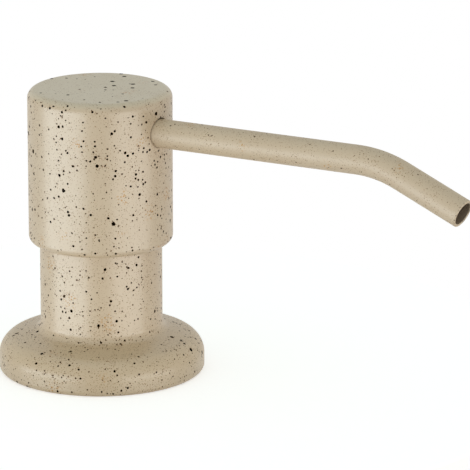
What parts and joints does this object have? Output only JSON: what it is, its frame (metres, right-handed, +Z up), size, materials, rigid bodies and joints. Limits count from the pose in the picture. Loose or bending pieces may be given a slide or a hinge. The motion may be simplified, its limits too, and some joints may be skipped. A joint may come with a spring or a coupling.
{
  "type": "deck-mounted detergent dispenser",
  "caption": "Worktop dispenser for detergent: press-down head with a long bent spout on a flanged neck, pump inside, threaded shank, clamp nut and screw-on bottle under the deck.",
  "frame": {"origin": "centre of the flange's underside, on the deck that carries the dispenser", "axes": "+Z up along the pump's axis, +X along the spout at rest"},
  "size_m": [0.1425, 0.06, 0.244],
  "materials": {
    "coated_metal": "matt sand-coloured baked coating with dark specks of many sizes",
    "white_plastic": "moulded white acetal and polypropylene",
    "seal_rubber": "moulded black nitrile rubber",
    "piston_plastic": "moulded soft polyethylene",
    "valve_steel": "ground stainless steel balls",
    "spring_steel": "drawn and wound stainless steel wire",
    "tube_plastic": "extruded translucent polyethylene",
    "thread_plastic": "moulded black plastic with fine grain",
    "bottle_plastic": "blow-moulded natural polyethylene, milky"
  },
  "bodies": {
    "base": {"base_collar": "coated_metal", "deck_gasket": "seal_rubber", "shank": "thread_plastic", "closure_cap": "white_plastic", "stem_guide": "white_plastic", "stem_seal": "seal_rubber", "pump_gasket": "seal_rubber", "pump_cylinder": "white_plastic", "ball_cage": "white_plastic", "dip_tube": "tube_plastic", "return_spring": "spring_steel"},
    "stem": {"piston_stem": "white_plastic", "piston_seal": "piston_plastic", "outlet_seat": "white_plastic", "swivel_o_ring": "seal_rubber"},
    "head": {"head_shell": "coated_metal", "head_core": "white_plastic", "spout_tube": "coated_metal", "spout_o_ring": "seal_rubber"},
    "inlet_valve": {"inlet_ball": "valve_steel"},
    "outlet_valve": {"outlet_ball": "valve_steel"},
    "washer": {"clamp_washer": "thread_plastic"},
    "nut": {"mounting_nut": "thread_plastic"},
    "bottle_seal": {"bottle_gasket": "seal_rubber"},
    "bottle": {"bottle": "bottle_plastic"}
  },
  "joints": [
    {"name": "head_press", "type": "slide", "parent": "base", "child": "stem", "axis": [0, 0, -1], "range_m": [0, 0.011], "stiffness_N_per_m": 350, "springref_m": -0.012, "deforming": ["return_spring"]},
    {"name": "head_swivel", "type": "hinge", "parent": "stem", "child": "head", "pos_m": [0, 0, 0.0634], "axis": [0, 0, 1], "continuous": true},
    {"name": "inlet_lift", "type": "slide", "parent": "base", "child": "inlet_valve", "axis": [0, 0, 1], "range_m": [0, 0.0015]},
    {"name": "outlet_lift", "type": "slide", "parent": "stem", "child": "outlet_valve", "axis": [0, 0, 1], "range_m": [0, 0.0012]},
    {"name": "washer_slide", "type": "slide", "parent": "base", "child": "washer", "axis": [0, 0, 1], "range_m": [-0.01151, 0.01951]},
    {"name": "nut_turn", "type": "hinge", "parent": "washer", "child": "nut", "pos_m": [0, 0, -0.028], "axis": [0, 0, 1], "range_deg": [-1380, 2340]},
    {"name": "bottle_slide", "type": "slide", "parent": "base", "child": "bottle_seal", "axis": [0, 0, 1], "range_m": [-0.01501, 0]},
    {"name": "bottle_turn", "type": "hinge", "parent": "bottle_seal", "child": "bottle", "pos_m": [0, 0, -0.062], "axis": [0, 0, 1], "range_deg": [-1800, 0]}
  ],
  "couplings": [
    {"joint": "washer_slide", "follows": "nut_turn", "m_per_rad": 0.00047746},
    {"joint": "bottle_slide", "follows": "bottle_turn", "m_per_rad": 0.00047746}
  ]
}
